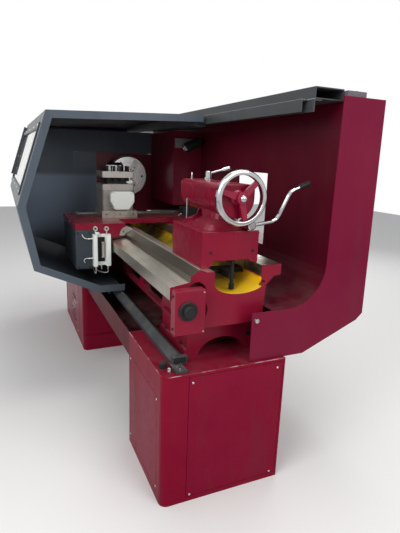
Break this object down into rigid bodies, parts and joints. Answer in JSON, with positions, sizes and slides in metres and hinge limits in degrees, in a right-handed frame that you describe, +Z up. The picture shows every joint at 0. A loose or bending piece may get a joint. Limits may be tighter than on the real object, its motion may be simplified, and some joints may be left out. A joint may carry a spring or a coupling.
{
  "type": "cnc turning lathe",
  "caption": "Flat-bed turning lathe with sliding splash door, rear guard, four-way tool turret, handwheel tailstock and two base cabinets.",
  "frame": {"origin": "on the floor, at the middle of the machine's overall length and depth", "axes": "+X along the spindle towards the tailstock end, +Y to the rear, +Z up; the operator stands at -Y"},
  "size_m": [2.45, 1.306, 1.557],
  "materials": {
    "burgundy_paint": "semi-gloss enamel",
    "slate_paint": "semi-gloss enamel",
    "dark_steel": "satin black oxide",
    "ground_steel": "ground",
    "chrome": "polished",
    "black_plastic": "matte",
    "white_plastic": "satin",
    "bare_casting": "machined and oiled",
    "clear_panel": "clear",
    "rubber": "matte"
  },
  "bodies": {
    "frame": {"right_cabinet": "burgundy_paint", "right_end_cover": "burgundy_paint", "right_front_cover": "burgundy_paint", "left_cabinet": "burgundy_paint", "left_front_cover": "burgundy_paint", "chip_tray": "burgundy_paint", "bed": "burgundy_paint", "feed_bracket": "burgundy_paint", "feed_bracket_cap": "dark_steel", "feed_motor": "black_plastic", "headstock": "burgundy_paint", "headstock_guard": "burgundy_paint", "door_screen": "slate_paint", "main_motor": "bare_casting", "drive_belt": "rubber", "rear_guard": "burgundy_paint", "guard_end_plate": "burgundy_paint", "top_rail": "dark_steel", "door_track": "dark_steel", "cable_duct": "slate_paint", "door_rail": "dark_steel", "rubber_stop": "rubber", "lamp_bracket": "bare_casting"},
    "belt_cover": {"end_door": "burgundy_paint"},
    "spindle_line": {"spindle": "ground_steel", "chuck": "ground_steel", "spindle_pulley": "bare_casting"},
    "jaw_1": {"chuck_jaw_1": "ground_steel"},
    "jaw_2": {"chuck_jaw_2": "ground_steel"},
    "jaw_3": {"chuck_jaw_3": "ground_steel"},
    "motor_drive": {"motor_pulley": "bare_casting"},
    "feed_screw": {"z_screw": "ground_steel"},
    "carriage": {"saddle": "burgundy_paint", "apron": "slate_paint", "ball_nut": "ground_steel", "lubricator": "white_plastic", "x_motor": "black_plastic"},
    "cross_screw": {"x_screw": "ground_steel"},
    "cross": {"cross_slide": "ground_steel", "turret_base": "bare_casting", "turret_motor_cover": "white_plastic"},
    "turret": {"turret_head": "ground_steel", "turret_cap": "chrome"},
    "tailstock": {"tailstock_base": "burgundy_paint", "tailstock_body": "burgundy_paint", "clamp_stud": "black_plastic"},
    "tailstock_quill": {"quill": "ground_steel"},
    "handwheel": {"handwheel_rim": "chrome", "handwheel_spider": "burgundy_paint"},
    "quill_lock": {"quill_lock_lever": "chrome"},
    "clamp": {"clamp_lever": "chrome", "clamp_grip": "black_plastic"},
    "door": {"sliding_door": "slate_paint", "door_window": "clear_panel", "window_frame": "dark_steel", "door_pull": "dark_steel", "door_hanger": "dark_steel", "door_guide": "dark_steel"},
    "lamp": {"lamp_barrel": "dark_steel", "lamp_lens": "clear_panel"}
  },
  "joints": [
    {"name": "belt_cover_hinge", "type": "hinge", "parent": "frame", "child": "belt_cover", "pos_m": [-1.105, 0.258, 0.73], "axis": [0, 0, 1], "range_deg": [-85, 0]},
    {"name": "spindle_spin", "type": "hinge", "parent": "frame", "child": "spindle_line", "pos_m": [-0.565, 0.074, 1.157], "axis": [1, 0, 0], "continuous": true},
    {"name": "motor_spin", "type": "hinge", "parent": "frame", "child": "motor_drive", "pos_m": [-1.117, 0.074, 0.25], "axis": [1, 0, 0], "continuous": true},
    {"name": "jaw_1_slide", "type": "slide", "parent": "spindle_line", "child": "jaw_1", "axis": [0, 0.5, 0.866], "range_m": [-0.02, 0.008]},
    {"name": "jaw_2_slide", "type": "slide", "parent": "spindle_line", "child": "jaw_2", "axis": [0, -1, 0], "range_m": [-0.02, 0.008]},
    {"name": "jaw_3_slide", "type": "slide", "parent": "spindle_line", "child": "jaw_3", "axis": [0, 0.5, -0.866], "range_m": [-0.02, 0.008]},
    {"name": "carriage_slide", "type": "slide", "parent": "frame", "child": "carriage", "axis": [-1, 0, 0], "range_m": [-0.1, 0.2]},
    {"name": "feed_screw_spin", "type": "hinge", "parent": "frame", "child": "feed_screw", "pos_m": [0.31, -0.144, 0.77], "axis": [1, 0, 0], "continuous": true},
    {"name": "cross_slide_travel", "type": "slide", "parent": "carriage", "child": "cross", "axis": [0, 1, 0], "range_m": [-0.09, 0.16]},
    {"name": "cross_screw_spin", "type": "hinge", "parent": "carriage", "child": "cross_screw", "pos_m": [-0.055, 0.008, 0.944], "axis": [0, 1, 0], "continuous": true},
    {"name": "turret_index", "type": "hinge", "parent": "cross", "child": "turret", "pos_m": [-0.055, -0.107, 1.1], "axis": [0, 0, 1], "continuous": true},
    {"name": "tailstock_travel", "type": "slide", "parent": "frame", "child": "tailstock", "axis": [-1, 0, 0], "range_m": [0, 0.15]},
    {"name": "handwheel_turn", "type": "hinge", "parent": "tailstock", "child": "handwheel", "pos_m": [1.145, 0.074, 1.157], "axis": [1, 0, 0], "range_deg": [0, 4320]},
    {"name": "quill_feed", "type": "slide", "parent": "tailstock", "child": "tailstock_quill", "axis": [-1, 0, 0], "range_m": [0, 0.1201]},
    {"name": "quill_lock_turn", "type": "hinge", "parent": "tailstock", "child": "quill_lock", "pos_m": [0.855, 0.074, 1.205], "axis": [0, 0, 1], "range_deg": [-60, 60]},
    {"name": "clamp_turn", "type": "hinge", "parent": "tailstock", "child": "clamp", "pos_m": [1.115, 0.14, 1.052], "axis": [1, 0, 0], "range_deg": [-8, 30]},
    {"name": "door_travel", "type": "slide", "parent": "frame", "child": "door", "axis": [1, 0, 0], "range_m": [0, 0.87]},
    {"name": "lamp_tilt", "type": "hinge", "parent": "frame", "child": "lamp", "pos_m": [-0.045, 0.38, 1.37], "axis": [1, 0, 0], "range_deg": [-25, 25]}
  ],
  "couplings": [
    {"joint": "motor_spin", "follows": "spindle_spin", "ratio": 1.6667},
    {"joint": "jaw_2_slide", "follows": "jaw_1_slide", "ratio": 1},
    {"joint": "jaw_3_slide", "follows": "jaw_1_slide", "ratio": 1},
    {"joint": "quill_feed", "follows": "handwheel_turn", "m_per_rad": 0.0015915},
    {"joint": "feed_screw_spin", "follows": "carriage_slide", "rad_per_m": 628.32},
    {"joint": "cross_screw_spin", "follows": "cross_slide_travel", "rad_per_m": 628.32}
  ]
}
